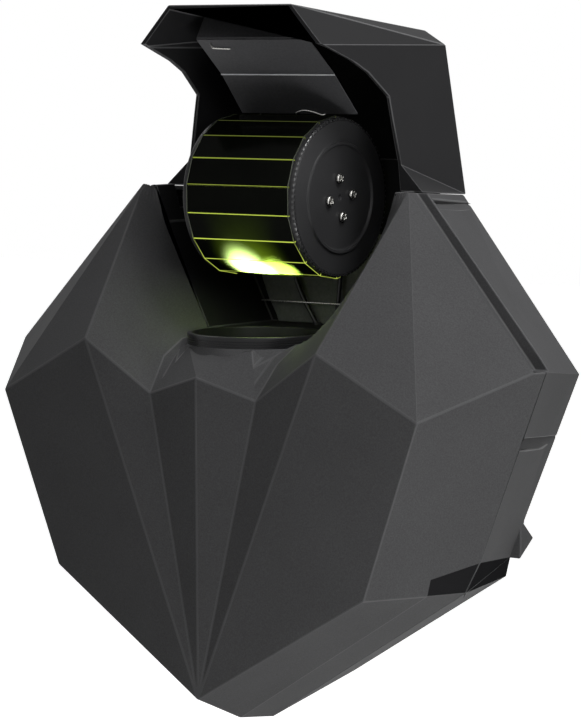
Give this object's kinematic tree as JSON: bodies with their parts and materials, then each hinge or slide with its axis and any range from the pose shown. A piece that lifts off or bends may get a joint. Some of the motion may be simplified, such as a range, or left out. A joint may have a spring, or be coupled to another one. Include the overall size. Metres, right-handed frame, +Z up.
{
  "type": "led barrel effect light",
  "caption": "Hanging effect light with a faceted black shell, a hood, a turning mirror barrel over an LED lens, and a tilting rear bracket.",
  "frame": {"origin": "middle of the bracket's mounting face", "axes": "+X to the right as seen from the front, +Y out of the back of the bracket, +Z up"},
  "size_m": [0.3958, 0.233, 0.438],
  "materials": {
    "black_plastic": "moulded with a fine grain",
    "soft_black": "satin",
    "black_sheet": "powder coated, fine",
    "grey_sheet": "satin",
    "mirror": "polished, tinted",
    "steel": "zinc plated",
    "dark_steel": "blackened",
    "aluminium": "extruded",
    "clear_glass": "polished",
    "circuit": "solder mask",
    "led_cover": "cast silicone",
    "colour_glass": "dichroic",
    "display_glass": "polished",
    "button_plastic": "satin"
  },
  "bodies": {
    "bracket": {"hanging_bracket": "black_sheet"},
    "chassis": {"front_shell": "black_plastic", "rear_shell": "black_plastic", "hood": "black_plastic", "hood_baffle": "black_sheet", "bay_tray": "black_plastic", "lens_bezel": "soft_black", "front_lens": "clear_glass", "optics_frame": "grey_sheet", "condenser_lens": "clear_glass", "led_board": "led_cover", "led_heatsink": "aluminium", "fan_frame": "soft_black", "gobo_motor": "dark_steel", "colour_motor": "dark_steel", "motor_bracket": "black_sheet", "barrel_motor": "dark_steel", "power_supply": "aluminium", "main_board": "circuit", "back_panel": "black_sheet", "display_window": "display_glass", "power_inlet": "soft_black", "dmx_input": "dark_steel", "dmx_output": "soft_black", "safety_eye": "dark_steel"},
    "barrel": {"barrel_drum": "dark_steel", "barrel_cap_left": "soft_black", "barrel_cap_right": "soft_black", "mirror_01": "mirror", "mirror_02": "mirror", "mirror_03": "mirror", "mirror_04": "mirror", "mirror_05": "mirror", "mirror_06": "mirror", "mirror_07": "mirror", "mirror_08": "mirror", "mirror_09": "mirror", "mirror_10": "mirror", "mirror_11": "mirror", "mirror_12": "mirror", "mirror_13": "mirror", "mirror_14": "mirror", "mirror_15": "mirror", "mirror_16": "mirror", "mirror_17": "mirror", "mirror_18": "mirror", "cap_screw_1": "steel", "cap_screw_2": "steel", "cap_screw_3": "steel", "cap_screw_4": "steel", "barrel_shaft": "steel"},
    "gobo_wheel": {"gobo_wheel": "dark_steel"},
    "colour_wheel": {"colour_wheel": "colour_glass"},
    "fan_rotor": {"fan_rotor": "soft_black"},
    "button_1": {"menu_button_1": "button_plastic"},
    "button_2": {"menu_button_2": "button_plastic"},
    "button_3": {"menu_button_3": "button_plastic"},
    "button_4": {"menu_button_4": "button_plastic"},
    "knob_left": {"tilt_knob_left": "soft_black"},
    "knob_right": {"tilt_knob_right": "soft_black"}
  },
  "joints": [
    {"name": "tilt", "type": "hinge", "parent": "bracket", "child": "chassis", "pos_m": [0, -0.05, 0], "axis": [1, 0, 0], "range_deg": [-60, 60]},
    {"name": "barrel_spin", "type": "hinge", "parent": "chassis", "child": "barrel", "pos_m": [0, -0.144, 0.117], "axis": [1, 0, 0], "continuous": true},
    {"name": "gobo_spin", "type": "hinge", "parent": "chassis", "child": "gobo_wheel", "pos_m": [0.034, -0.173, -0.015], "axis": [0, 0, 1], "continuous": true},
    {"name": "colour_spin", "type": "hinge", "parent": "chassis", "child": "colour_wheel", "pos_m": [-0.034, -0.173, -0.029], "axis": [0, 0, 1], "continuous": true},
    {"name": "fan_spin", "type": "hinge", "parent": "chassis", "child": "fan_rotor", "pos_m": [0, -0.173, -0.129], "axis": [0, 0, 1], "continuous": true},
    {"name": "button_1_press", "type": "slide", "parent": "chassis", "child": "button_1", "axis": [0, -1, 0], "range_m": [0, 0.0012], "stiffness_N_per_m": 300, "springref_m": -0.001},
    {"name": "button_2_press", "type": "slide", "parent": "chassis", "child": "button_2", "axis": [0, -1, 0], "range_m": [0, 0.0012], "stiffness_N_per_m": 300, "springref_m": -0.001},
    {"name": "button_3_press", "type": "slide", "parent": "chassis", "child": "button_3", "axis": [0, -1, 0], "range_m": [0, 0.0012], "stiffness_N_per_m": 300, "springref_m": -0.001},
    {"name": "button_4_press", "type": "slide", "parent": "chassis", "child": "button_4", "axis": [0, -1, 0], "range_m": [0, 0.0012], "stiffness_N_per_m": 300, "springref_m": -0.001},
    {"name": "knob_left_turn", "type": "hinge", "parent": "chassis", "child": "knob_left", "pos_m": [-0.08, -0.05, 0], "axis": [1, 0, 0], "range_deg": [-180, 0]},
    {"name": "knob_right_turn", "type": "hinge", "parent": "chassis", "child": "knob_right", "pos_m": [0.08, -0.05, 0], "axis": [1, 0, 0], "range_deg": [0, 180]}
  ]
}
